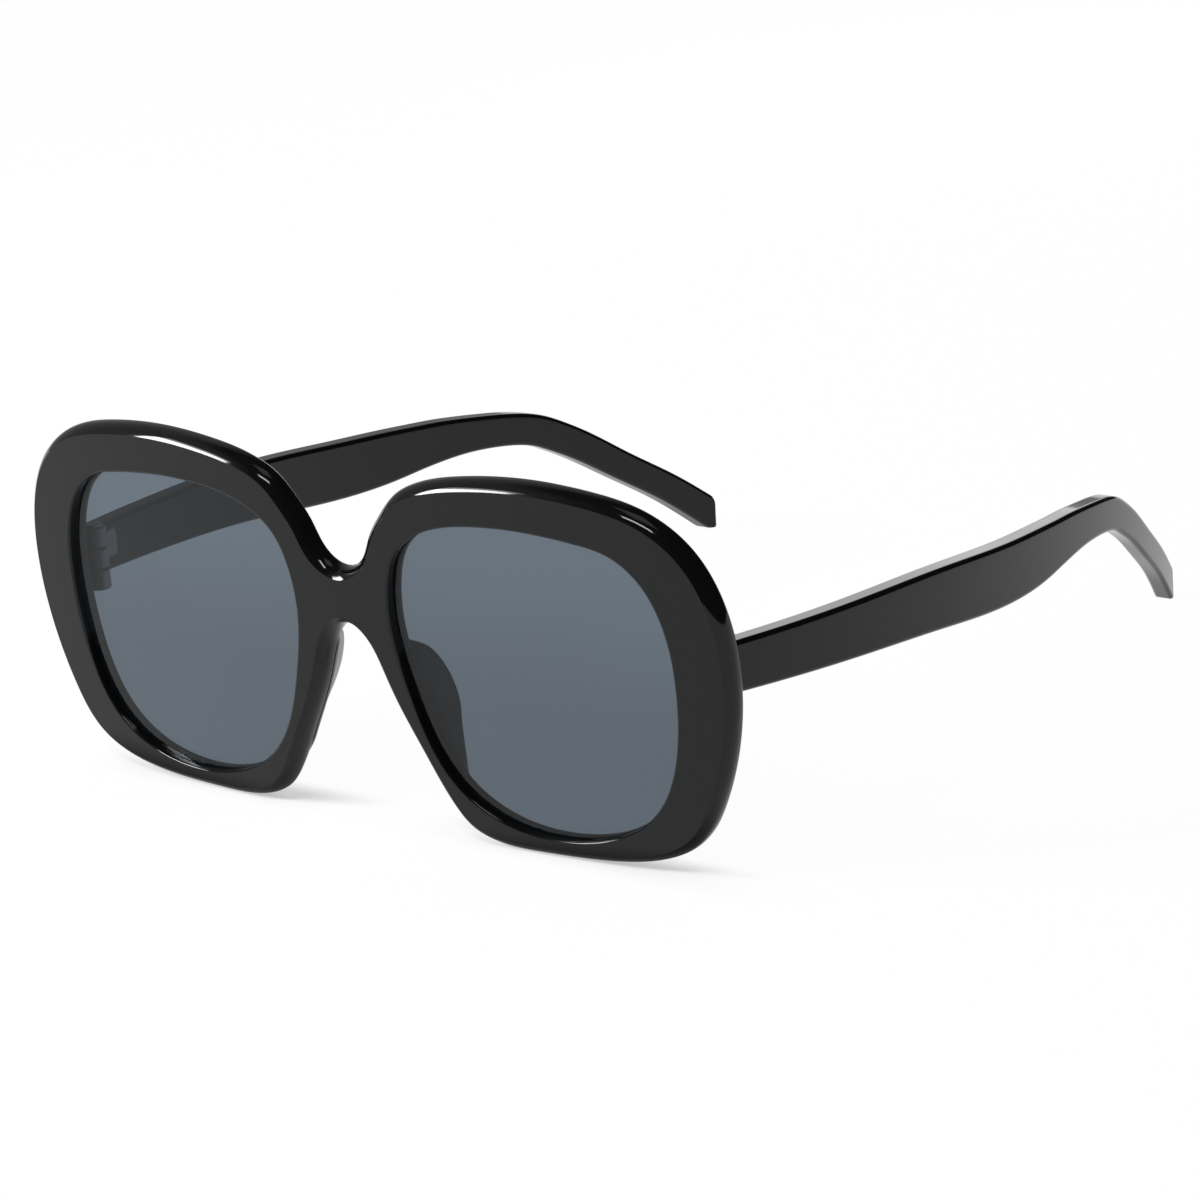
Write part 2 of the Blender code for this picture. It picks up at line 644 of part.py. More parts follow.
def hinge_screw(side):
    """A slotted screw down through the three knuckles."""
    low = HINGE_HEIGHT - BARREL_HEIGHT / 2
    top = HINGE_HEIGHT + BARREL_HEIGHT / 2 + FIT_GAP
    head_top = top + SCREW_HEAD_HEIGHT
    shank_top = head_top - SLOT_DEPTH * 2
    made = cylinder("hinge_screw_" + side, SCREW_RADIUS, low, shank_top, SCREW_STEEL, hand(side))
    head = cylinder("head", SCREW_HEAD_RADIUS, top, head_top, SCREW_STEEL, hand(side))
    apply_boolean(made, [head], "UNION")
    reach = SCREW_HEAD_RADIUS + CUT_OVERRUN
    half = SLOT_WIDTH / 2
    slot = [(HINGE.x - reach, HINGE.y - half), (HINGE.x + reach, HINGE.y - half),
            (HINGE.x + reach, HINGE.y + half), (HINGE.x - reach, HINGE.y + half)]
    cut = prism("slot", slot, head_top - SLOT_DEPTH, head_top + CUT_OVERRUN, SCREW_STEEL, hand(side))
    return apply_boolean(made, [cut], "DIFFERENCE")


# Assembly: fixed pieces on the stand, each temple's pieces on its hinge axis

def middle_of(pieces):
    """Half way between the foremost and the rearmost point."""
    bpy.context.view_layer.update()
    ys = [(piece.matrix_world @ vertex.co).y for piece in pieces for vertex in piece.data.vertices]
    return (min(ys) + max(ys)) / 2


def build():
    stand = empty("stand", Vector((0.0, 0.0, 0.0)))
    foot = Vector((0.0, 0.0, 0.0))
    pieces = [set_origin(front_frame(), foot, stand)]
    for side in SIDES:
        axis = Vector((hand(side) * HINGE.x, HINGE.y, HINGE.z))
        hinge = empty("hinge_axis_" + side, axis, stand)
        pieces += [set_origin(make(side), foot, stand) for make in (lens, nose_pad)]
        pieces += [set_origin(make(side), axis, stand) for make in (front_hinge, hinge_screw)]
        core = core_bar("temple_core_" + side, side, 0.0)
        pieces += [set_origin(piece, axis, hinge) for piece in (temple(side), temple_hinge(side), core)]
    stand.location.y = -middle_of(pieces)
    bpy.context.view_layer.update()
    for side in SIDES:
        at = bpy.data.objects["hinge_axis_" + side].matrix_world.translation
        print("hinge axis", side, [round(value, 6) for value in at])


build()
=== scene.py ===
"""Looks of a pair of large oval sunglasses: fine surfaces, finishes, a pale studio and the camera.

Metres, +Z up. The front faces -Y, the temples run back to +Y, and the wearer's left is +X.
"""
import math

import bmesh
import bpy
import numpy as np
from bpy.props import FloatProperty, FloatVectorProperty, PointerProperty
from mathutils import Matrix, Vector


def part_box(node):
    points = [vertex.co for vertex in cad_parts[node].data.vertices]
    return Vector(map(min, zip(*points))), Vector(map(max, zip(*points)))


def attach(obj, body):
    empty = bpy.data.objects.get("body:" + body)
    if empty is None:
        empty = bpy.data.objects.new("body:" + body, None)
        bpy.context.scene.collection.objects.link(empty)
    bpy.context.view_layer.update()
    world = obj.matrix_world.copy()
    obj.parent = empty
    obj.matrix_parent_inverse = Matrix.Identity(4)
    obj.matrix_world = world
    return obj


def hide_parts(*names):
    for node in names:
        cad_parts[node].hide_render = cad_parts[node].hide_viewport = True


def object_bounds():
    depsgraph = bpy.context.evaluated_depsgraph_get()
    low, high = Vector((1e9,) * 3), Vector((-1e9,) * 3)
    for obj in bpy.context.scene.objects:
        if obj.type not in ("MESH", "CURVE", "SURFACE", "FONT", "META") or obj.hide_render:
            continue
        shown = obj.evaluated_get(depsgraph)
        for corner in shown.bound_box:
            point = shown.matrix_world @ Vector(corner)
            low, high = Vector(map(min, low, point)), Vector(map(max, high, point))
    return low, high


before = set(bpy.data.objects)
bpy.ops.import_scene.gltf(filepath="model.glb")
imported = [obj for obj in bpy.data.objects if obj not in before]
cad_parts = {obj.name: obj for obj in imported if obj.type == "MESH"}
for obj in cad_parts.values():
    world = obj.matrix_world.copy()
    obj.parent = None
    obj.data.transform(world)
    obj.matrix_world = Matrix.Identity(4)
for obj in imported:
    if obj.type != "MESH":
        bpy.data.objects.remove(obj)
CAD_BOX = [list(corner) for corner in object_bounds()]

bl_info = {
    "name": "Oval sunglasses",
    "version": (1, 0, 0),
    "blender": (4, 5, 0),
    "location": "View3D > Sidebar > Sunglasses",
    "description": "Makes the surfaces, the finishes and the studio of a pair of oval sunglasses",
    "category": "Add Mesh",
}

# Half of the front's outline from the top of the bridge round the rim to the arch: across, up
OUTLINE_SHARES = (
    (0.0, 0.701), (0.062, 0.739), (0.091, 0.803), (0.129, 0.867), (0.175, 0.923),
    (0.236, 0.958), (0.364, 0.989), (0.496, 1.0), (0.690, 0.984), (0.816, 0.946),
    (0.921, 0.856), (0.981, 0.721), (1.0, 0.567), (0.975, 0.340), (0.929, 0.194),
    (0.896, 0.126), (0.849, 0.071), (0.791, 0.037), (0.661, 0.007), (0.465, 0.0),
    (0.335, 0.011), (0.275, 0.040), (0.231, 0.096), (0.165, 0.230), (0.103, 0.371),
    (0.076, 0.450), (0.050, 0.511), (0.0, 0.549),
)
# Lens opening from its upper nasal corner, clockwise: across from the nose, up
OPENING_SHARES = (
    (0.059, 0.879), (0.147, 0.947), (0.372, 0.997), (0.486, 1.0), (0.716, 0.979),
    (0.824, 0.952), (0.915, 0.880), (0.971, 0.774), (1.0, 0.537), (0.968, 0.300),
    (0.925, 0.192), (0.851, 0.100), (0.752, 0.041), (0.530, 0.0), (0.307, 0.042),
    (0.208, 0.101), (0.130, 0.190), (0.041, 0.411), (0.0, 0.644), (0.012, 0.766),
)
# How far a nose pad stands out along its length, from top to bottom
PAD_REACH_SHARES = (
    (0.0, 0.32), (0.11, 0.75), (0.22, 0.94), (0.335, 1.0), (0.45, 0.95), (0.56, 0.78),
    (0.675, 0.57), (0.79, 0.37), (0.89, 0.20), (1.0, 0.08),
)
# Temple's centre line from the hinge to the tip: along, up as a share of the hinge height
CENTRE_SHARES = (
    (0.0, 1.0), (0.181, 0.962), (0.336, 0.923), (0.469, 0.868), (0.560, 0.853),
    (0.641, 0.852), (0.708, 0.828), (0.743, 0.803), (0.771, 0.768), (0.799, 0.707),
    (0.827, 0.634), (0.883, 0.462), (0.943, 0.276),
)
# Temple's height across its centre line: along, share of the blade height
HEIGHT_SHARES = (
    (0.0, 0.793), (0.181, 0.876), (0.336, 0.966), (0.431, 0.996), (0.490, 0.977),
    (0.560, 0.887), (0.600, 0.787), (0.641, 0.695), (0.701, 0.594), (0.743, 0.568),
    (0.799, 0.551), (0.883, 0.504), (1.0, 0.503),
)
SIDES = ("left", "right")
# Columns round the whole outline, and up the middle of the bridge
OUTER_COLUMNS = 840
BRIDGE_COLUMNS = 18
# A face has a narrow strip beside each of its edges, this share of its width, to keep its gloss flat
EDGE_SHARE = 0.02
# How much the table takes off the front's lowest edge, and how close two points become one
FOOT_FLAT = 0.00015
TINY = 1e-7


def length(name, default, description):
    return FloatProperty(name=name, default=default, description=description, unit="LENGTH", precision=5)


def colour(name, default, description):
    return FloatVectorProperty(name=name, default=default, description=description,
                               subtype="COLOR", size=3, min=0.0, max=1.0)


def number(name, default, description):
    return FloatProperty(name=name, default=default, description=description, precision=3)


def angle(name, degrees, description):
    return FloatProperty(name=name, default=math.radians(degrees), description=description, subtype="ANGLE")


class FrontSizes(bpy.types.PropertyGroup):
    """Sizes of the front and its lenses"""
    lens_width: length("Lens width", 0.0521, "Width of a lens opening")
    lens_height: length("Lens height", 0.0499, "Height of a lens opening")
    bridge: length("Bridge", 0.0193, "Distance between the two lens openings")
    side_rim: length("Side rim", 0.01, "Rim beside the lens")
    upper_rim: length("Upper rim", 0.0075, "Rim above the lens")
    lower_rim: length("Lower rim", 0.0033, "Rim below the lens")
    thickness: length("Thickness", 0.0038, "Front to back of the front")
    bend_radius: length("Bend radius", 0.516, "Radius that the front is bent to")
    lean: angle("Lean", 3.6, "How far the front leans forward on the table")
    shoulder_width: length("Shoulder width", 0.0015, "Width of the round shoulder along the outer edge")
    shoulder_depth: length("Shoulder depth", 0.0025, "How far back the shoulder reaches")
    shoulder_start: angle("Shoulder start", 35, "Angle between the face and the shoulder at their crease")
    rear_radius: length("Rear edge", 0.0009, "Radius of the rear outer edge")
    opening_radius: length("Opening edge", 0.0004, "Radius of the edges of the lens opening")
    lip: length("Lip", 0.0011, "Face to the lens groove")
    groove: length("Groove", 0.0007, "Depth of the lens groove")
    lens_thickness: length("Lens thickness", 0.0018, "Thickness of a lens with its fit in the groove")


class PadSizes(bpy.types.PropertyGroup):
    """Sizes of the nose pads"""
    drop: length("Drop", 0.0023, "Arch to the top of a pad")
    height: length("Height", 0.0240, "Top to bottom of a pad")
    depth: length("Depth", 0.0065, "How far a pad stands behind the rim")
    flare: length("Flare", 0.0022, "How far a pad leans outward")
    width: length("Width", 0.0030, "Width of a pad at the rim")
    inset: length("Inset", 0.0022, "Nasal edge of the rim to the middle of a pad")
    sink: length("Sink", 0.0004, "How deep a pad's foot is sunk in the rim")


class TempleSizes(bpy.types.PropertyGroup):
    """Sizes of the temples"""
    length: length("Length", 0.1429, "Front end of a temple to its tip")
    thickness: length("Thickness", 0.0038, "Thickness of a temple")
    inset: length("Inset", 0.0037, "Front's side edge to the temple's outer face")
    bow: length("Bow", 0.0046, "How far a temple bows outward")
    tip_inset: length("Tip inset", 0.0172, "How far the tip comes in")
    edge_radius: length("Edge radius", 0.0008, "Radius of the long edges")
    tip_radius: length("Tip radius", 0.0016, "Radius of the tip's corners")
    blade: length("Blade height", 0.0101, "Greatest height of a temple")
    tip_end: length("Tip end", 0.0021, "Table to the end of the centre line")
    tip_cut: length("Tip cut", 0.006, "Length over which the sections turn upright at the tip")
    hinge_height: length("Hinge height", 0.0331, "Table to the middle of the hinge")
    gap: length("Gap", 0.0003, "Gap between the front and a temple")


class HingeSizes(bpy.types.PropertyGroup):
    """Sizes of the hinges"""
    knuckle_radius: length("Knuckle radius", 0.0019, "Radius of a knuckle")
    barrel: length("Barrel height", 0.0104, "Height of the three knuckles together")
    gap: length("Knuckle gap", 0.0003, "Gap between two knuckles")
    plate_width: length("Anchor width", 0.005, "Width of the plate in the end piece")
    plate_height: length("Anchor height", 0.0088, "Height of the plate in the end piece")
    plate_proud: length("Proud", 0.00012, "How far the plates stand out of the plastic")
    plate_thickness: length("Plate thickness", 0.0012, "Thickness of the plate in the end piece")
    leaf_length: length("Leaf length", 0.009, "Length of the plate in a temple")
    leaf_height: length("Leaf height", 0.0046, "Height of the plate in a temple")
    leaf_start: length("Leaf start", 0.0012, "Front end of a temple to its plate")
    screw_radius: length("Screw radius", 0.0007, "Radius of the screw")
    head_radius: length("Screw head radius", 0.0013, "Radius of the screw's head")
    head_height: length("Screw head height", 0.0006, "Height of the screw's head")
    slot: length("Slot", 0.0004, "Width of the slot in the screw's head")
    chamfer: length("Chamfer", 0.00015, "Chamfer on the metal edges")


class Finishes(bpy.types.PropertyGroup):
    """Colours of the pieces"""
    black: colour("Frame", (0.0026, 0.0028, 0.0027), "Gloss black of the front and the temples")
    # The pads' satin is their own, but their base is set lighter than the frame's black to stand in for
    # light falling on them from above and behind: painted light
    pad: colour("Pads", (0.038, 0.038, 0.039), "Satin black of the nose pads")
    tint: colour("Lens tint", (0.677, 0.762, 0.841), "What one face of a lens lets through")
    metal: colour("Hinges", (0.30, 0.30, 0.31), "Hinge metal")
    screw: colour("Screws", (0.45, 0.45, 0.44), "Screw metal")
    wire: colour("Core wires", (0.58, 0.56, 0.52), "Wire inside the temples")


class Studio(bpy.types.PropertyGroup):
    """Floor, lights and camera"""
    floor: colour("Floor", (0.94, 0.94, 0.94), "Floor and backdrop")
    ambient: number("Ambient", 0.42, "Soft light from all round")
    top_light: number("Top light", 0.8, "Power of the light above, in watts")
    azimuth: angle("Azimuth", 40.264, "Camera's direction round the object")
    elevation: angle("Elevation", 17.431, "Camera's height above the horizon")
    roll: angle("Roll", -4.768, "Camera's turn about its own axis")
    distance: length("Distance", 0.9115, "Camera to what it looks at")
    lens: number("Lens", 168.587, "Camera's focal length in millimetres")
    target: FloatVectorProperty(name="Target", default=(0.00074, -0.01467, 0.01955), precision=5,
                                subtype="TRANSLATION", unit="LENGTH", description="What the camera looks at")


GROUPS = {
    "glasses_front": FrontSizes, "glasses_pads": PadSizes, "glasses_temples": TempleSizes,
    "glasses_hinges": HingeSizes, "glasses_finishes": Finishes, "glasses_studio": Studio,
}


# Curves

def spline(points, at, closed=False):
    """Places and directions on a smooth curve through the points.

    Between two points it is a cubic whose bend (second derivative) runs straight from one
    point's to the next, and the bends come from equal slopes at every point. The places are
    shares of the summed distance between the points.
    """
    p = np.array(points, float)
    if closed:
        p = np.vstack([p, p[:1]])
    chords = np.diff(p, axis=0)
    steps = np.linalg.norm(chords, axis=1)
    starts = np.concatenate([[0.0], np.cumsum(steps)])
    inner = np.arange(1, len(p) - 1)
    matrix = np.eye(len(p))
    matrix[inner, inner - 1] = steps[:-1]
    matrix[inner, inner] = 2 * (steps[:-1] + steps[1:])
    matrix[inner, inner + 1] = steps[1:]
    slopes = chords / steps[:, None]
    right = np.zeros_like(p)
    right[1:-1] = 6 * np.diff(slopes, axis=0)
    if closed:
        matrix[0, [0, 1, -2]] = 2 * (steps[-1] + steps[0]), steps[0], steps[-1]
        matrix[-1, [0, -1]] = 1, -1
        right[0] = 6 * (slopes[0] - slopes[-1])
    bend = np.linalg.solve(matrix, right)
    wanted = np.asarray(at, float) * starts[-1]
    k = np.clip(np.searchsorted(starts, wanted, side="right") - 1, 0, len(p) - 2)
    step = steps[k][:, None]
    a = (starts[k + 1] - wanted)[:, None] / step
    b = 1 - a
    place = a * p[k] + b * p[k + 1] + ((a**3 - a) * bend[k] + (b**3 - b) * bend[k + 1]) * step**2 / 6
    ahead = slopes[k] + ((3 * b**2 - 1) * bend[k + 1] - (3 * a**2 - 1) * bend[k]) * step / 6
    return place, ahead / np.linalg.norm(ahead, axis=1)[:, None]


def read(shares, at):
    """A table of shares read at places, along a smooth curve through its points."""
    table = spline(shares, np.linspace(0, 1, 900))[0]
    return np.interp(at, table[:, 0], table[:, 1])


def outward(ahead):
    """Directions square to a clockwise curve, out of it: the direction ahead turned a quarter left."""
    return np.stack([-ahead[:, 1], ahead[:, 0]], axis=1)


def quarter_round(share):
    """A quarter circle's rise from 0 at share 0 to 1 at share 1, and 1 from there on."""
    return np.sqrt(1 - np.clip(1 - share, 0, 1) ** 2)


# The bent and leaning front

class Front:
    """The front's curves, and where a place on its face is in the room."""

    def __init__(self, size):
        self.size = size
        self.half_width = size.bridge / 2 + size.lens_width + size.side_rim
        self.height = size.lower_rim + size.lens_height + size.upper_rim
        half = [(u * self.half_width, v * self.height) for u, v in OUTLINE_SHARES]
        self.loop = half + [(-u, v) for u, v in half[-2:0:-1]]
        self.hole = [(size.bridge / 2 + u * size.lens_width, size.lower_rim + v * size.lens_height)
                     for u, v in OPENING_SHARES]
        # It stands on the table by its lower edge, and its foremost place is where the CAD's is
        self.lift = 0.0
        self.shift = 0.0
        rim, ahead = self.outline(np.linspace(0, 0.5, 400))
        self.lift = -self.bent(rim, size.shoulder_width)[:, 2].min() - FOOT_FLAT
        face = rim - size.shoulder_width * outward(ahead)
        self.shift = CAD_BOX[0][1] - self.bent(face, 0.0)[:, 1].min()

    def outline(self, at):
        return spline(self.loop, at, closed=True)

    def opening(self, at):
        return spline(self.hole, at, closed=True)

    def bent(self, plan, depth):
        """Places across and up the face, at a depth behind it, bent, leant forward and set on the table.

        x = (R - d) sin(u / R), y = R - (R - d) cos(u / R); then y and v are turned by the lean.
        """
        u, v = plan[..., 0], plan[..., 1]
        radius = self.size.bend_radius
        x = (radius - depth) * np.sin(u / radius)
        y = radius - (radius - depth) * np.cos(u / radius)
        back = y * math.cos(self.size.lean) - v * math.sin(self.size.lean)
        up = y * math.sin(self.size.lean) + v * math.cos(self.size.lean)
        return np.stack(np.broadcast_arrays(x, back + self.shift, up + self.lift), axis=-1)

    def standing(self, plan, depth):
        """As bent, and flattened where it would pass through the table."""
        points = self.bent(plan, depth)
        points[..., 2] = np.maximum(points[..., 2], 0.0)
        return points

    def strip(self, plan, way, steps):
        """A grid with a row for each step (how far the places move along their ways, how deep they are)."""
        return np.stack([self.standing(plan + move * way, depth) for move, depth in steps])

    def rear_y(self, x, z, behind):
        """Where the back of the front is at a place across and up, a gap behind it."""
        radius = self.size.bend_radius
        y = radius - np.sqrt((radius - self.size.thickness - behind) ** 2 - x**2)
        return y / math.cos(self.size.lean) - math.tan(self.size.lean) * (z - self.lift) + self.shift

    def height_at(self, x, z):
        """The height up the front's own face of a place on its back."""
        radius = self.size.bend_radius
        y = radius - math.sqrt((radius - self.size.thickness) ** 2 - x**2)
        return (z - self.lift - y * math.sin(self.size.lean)) / math.cos(self.size.lean)

    def nasal_edge(self, height):
        """How far across the outline is at a height on its nasal side."""
        rim = self.outline(np.linspace(0, 0.5, 1200))[0]
        nasal = rim[rim[:, 1].argmin():]
        return np.interp(height, nasal[:, 1], nasal[:, 0])


# Making meshes

def quads(grid, start):
    """Four corners for each cell of a grid of points numbered from start."""
    index = start + np.arange(grid.shape[0] * grid.shape[1]).reshape(grid.shape[:2])
    cells = (index[:-1, :-1], index[1:, :-1], index[1:, 1:], index[:-1, 1:])
    return np.stack(cells, axis=-1).reshape(-1, 4)


def mirrored(grids):
    """The same grids on the other side of the glasses."""
    return [grid * np.array((-1.0, 1.0, 1.0)) for grid in grids]


def put(name, data):
    """A new object in the scene."""
    made = bpy.data.objects.new(name, data)
    bpy.context.scene.collection.objects.link(made)
    return made


def piece(name, grids, look, sharp=30, caps=()):
    """A closed mesh from grids of points whose edges meet, and from flat caps that close their ends.

    Points in one place become one, the faces point out, and edges over the sharp angle stay crisp.
    """
    points = [grid.reshape(-1, 3) for grid in grids] + [np.asarray(cap) for cap in caps]
    starts = np.concatenate([[0], np.cumsum([len(part) for part in points])])
    faces = np.concatenate([quads(grid, start) for grid, start in zip(grids, starts)]).tolist()
    for cap, start in zip(caps, starts[len(grids):]):
        faces.append(list(range(start, start + len(cap))))
    mesh = bpy.data.meshes.new(name)
    mesh.from_pydata(np.concatenate(points).tolist(), [], faces)
    bm = bmesh.new()
    bm.from_mesh(mesh)
    bmesh.ops.remove_doubles(bm, verts=bm.verts, dist=TINY)
    bmesh.ops.dissolve_degenerate(bm, dist=TINY, edges=bm.edges)
    bmesh.ops.recalc_face_normals(bm, faces=bm.faces)
    open_edges = sum(1 for edge in bm.edges if not edge.is_manifold)
    bm.to_mesh(mesh)
    bm.free()
    if open_edges:
        raise RuntimeError(f"{name}: {open_edges} open edges")
    mesh.shade_smooth()
    mesh.set_sharp_from_angle(angle=math.radians(sharp))
    mesh.materials.append(look)
    return put(name, mesh)


def stands_for(made, node, body):
    """Puts a piece in place of its solid, on its body."""
    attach(made, body)
    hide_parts(node)


def sided(name, side, grids, shade, body="front", sharp=30, caps=()):
    """The left or the right piece of a pair, in place of its solid; the right is mirrored."""
    if side == "right":
        grids, caps = mirrored(grids), mirrored(caps)
    made = piece(f"{name}_surface_{side}", grids, finish(shade), sharp, caps)
    stands_for(made, f"{name}_{side}", body)


# Shader maths

class Value:
    """A shader socket that works in sums: each operator adds its Math node."""

    def __init__(self, graph, socket):
        self.graph = graph
        self.socket = socket

    def maths(self, operation, first, second=0.0):
        return self.graph.add("Math", {"operation": operation}, {0: first, 1: second})

    def __add__(self, other):
        return self.maths("ADD", self, other)

    def __radd__(self, other):
        return self.maths("ADD", other, self)

    def __sub__(self, other):
        return self.maths("SUBTRACT", self, other)

    def __rsub__(self, other):
        return self.maths("SUBTRACT", other, self)

    def __mul__(self, other):
        return self.maths("MULTIPLY", self, other)

    def __rmul__(self, other):
        return self.maths("MULTIPLY", other, self)

    def __abs__(self):
        return self.maths("ABSOLUTE", self)


class Graph:
    """The node tree of a material or a world, emptied and then filled node by node."""

    def __init__(self, owner):
        owner.use_nodes = True
        self.tree = owner.node_tree
        self.tree.nodes.clear()

    def add(self, kind, settings=None, sockets=None, output=0):
        """A node of a type, with its settings first and then the values or links of its sockets."""
        node = self.tree.nodes.new("ShaderNode" + kind)
        for key, value in (settings or {}).items():
            setattr(node, key, value)
        for key, value in (sockets or {}).items():
            if isinstance(value, Value):
                self.tree.links.new(value.socket, node.inputs[key])
            elif node.inputs[key].type == "RGBA" and len(value) == 3:
                node.inputs[key].default_value = (*value, 1.0)
            else:
                node.inputs[key].default_value = value
        return Value(self, node.outputs[output]) if node.outputs else node

    def fade(self, value, low, high):
        """1 below low, 0 above high, and a smooth fall between them."""
        sockets = {"Value": value, "From Min": low, "From Max": high}
        return 1.0 - self.add("MapRange", {"interpolation_type": "SMOOTHSTEP"}, sockets)

    def part(self, vector, axis):
        """One coordinate of a place or a direction."""
        return self.add("SeparateXYZ", {}, {"Vector": vector}, axis)

    def ray(self, kind):
        """1 where the surface is met by a ray of this kind, and 0 elsewhere."""
        return self.add("LightPath", output=f"Is {kind} Ray")


def material(name):
    """A new material, its node tree, and the place on the piece."""
    made = bpy.data.materials.new(name)
    graph = Graph(made)
    return made, graph, graph.add("TexCoord", output="Object")


def plastic(name, shade, gloss, dust_scale, wave, level):
    """Moulded and polished plastic: a faint mottle, a slow polishing wave and fine dust-sized dulling."""
    made, graph, place = material(name)
    mottle = graph.add("TexNoise", {}, {"Vector": place, "Scale": 260.0, "Detail": 3.0}, "Fac")
    slow = graph.add("TexNoise", {}, {"Vector": place, "Scale": 70.0, "Detail": 1.0}, "Fac")
    dust = graph.add("TexNoise", {}, {"Vector": place, "Scale": dust_scale, "Detail": 4.0}, "Fac")
    light = tuple(min(1.0, 1.35 * value) for value in shade)
    base = graph.add("Mix", {"data_type": "RGBA"}, {"Factor": mottle, 6: shade, 7: light}, 2)
    rough = gloss * (0.8 + 0.4 * dust)
    bump = graph.add("Bump", {}, {"Strength": 1.0, "Distance": wave, "Height": slow})
    sockets = {"Base Color": base, "Roughness": rough, "Normal": bump, "Specular IOR Level": level}
    shader = graph.add("BsdfPrincipled", {}, sockets)
    graph.add("OutputMaterial", {}, {"Surface": shader})
    return made


def metal(name, shade, gloss, scale):
    """Turned metal: fine rings and scratches that vary its gloss."""
    made, graph, place = material(name)
    stretched = graph.add("Mapping", {}, {"Vector": place, "Scale": (1.0, 1.0, 12.0)})
    grain = graph.add("TexNoise", {}, {"Vector": stretched, "Scale": scale, "Detail": 5.0}, "Fac")
    dark = tuple(0.7 * value for value in shade)
    base = graph.add("Mix", {"data_type": "RGBA"}, {"Factor": grain, 6: dark, 7: shade}, 2)
    bump = graph.add("Bump", {}, {"Strength": 0.3, "Distance": 0.00001, "Height": grain})
    sockets = {"Base Color": base, "Metallic": 1.0, "Roughness": gloss * (0.7 + 0.6 * grain), "Normal": bump}
    shader = graph.add("BsdfPrincipled", {}, sockets)
    graph.add("OutputMaterial", {}, {"Surface": shader})
    return made


def tinted(name, tint, low, high):
    """A grey lens: a glossy coat over a tint that lets light through; towards the bottom it lets less
    through and is darker.
    """
    made, graph, place = material(name)
    height = graph.part(place, "Z")
    haze = graph.add("TexNoise", {}, {"Vector": place, "Scale": 90.0, "Detail": 2.0}, "Fac")
    coat_share, deeper_share, haze_share = 0.5, 0.06, 0.008
    cover = coat_share + deeper_share * graph.fade(height, low, high) + haze_share * (haze - 0.5)
    coat = graph.add("BsdfPrincipled", {}, {
        "Base Color": (0.004, 0.005, 0.006), "Roughness": 0.02 + 0.02 * haze, "IOR": 1.5})
    clear = graph.add("BsdfTransparent", {}, {"Color": tint})
    both = graph.add("MixShader", {}, {0: cover, 1: clear, 2: coat})
    graph.add("OutputMaterial", {}, {"Surface": both})
    return made


def finish(name):
    """The named finish, made the first time it is asked for."""
    if name in bpy.data.materials and "glasses" in bpy.data.materials[name]:
        return bpy.data.materials[name]
    shades = bpy.context.scene.glasses_finishes
    front = bpy.context.scene.glasses_front
    if name == "gloss_black":
        made = plastic(name, tuple(shades.black), gloss=0.07, dust_scale=3000.0, wave=0.000002, level=0.27)
    elif name == "satin_black":
        made = plastic(name, tuple(shades.pad), gloss=0.3, dust_scale=5000.0, wave=0.000004, level=0.5)
    elif name == "grey_tint":
        made = tinted(name, tuple(shades.tint), low=0.4 * front.lens_height, high=front.lens_height)
    elif name == "hinge_steel":
        made = metal(name, tuple(shades.metal), gloss=0.32, scale=900.0)
    elif name == "screw_steel":
        made = metal(name, tuple(shades.screw), gloss=0.25, scale=1500.0)
    else:
        made = metal(name, tuple(shades.wire), gloss=0.4, scale=600.0)
    made["glasses"] = 1
    return made


# Operators, one for each piece or pair of like pieces

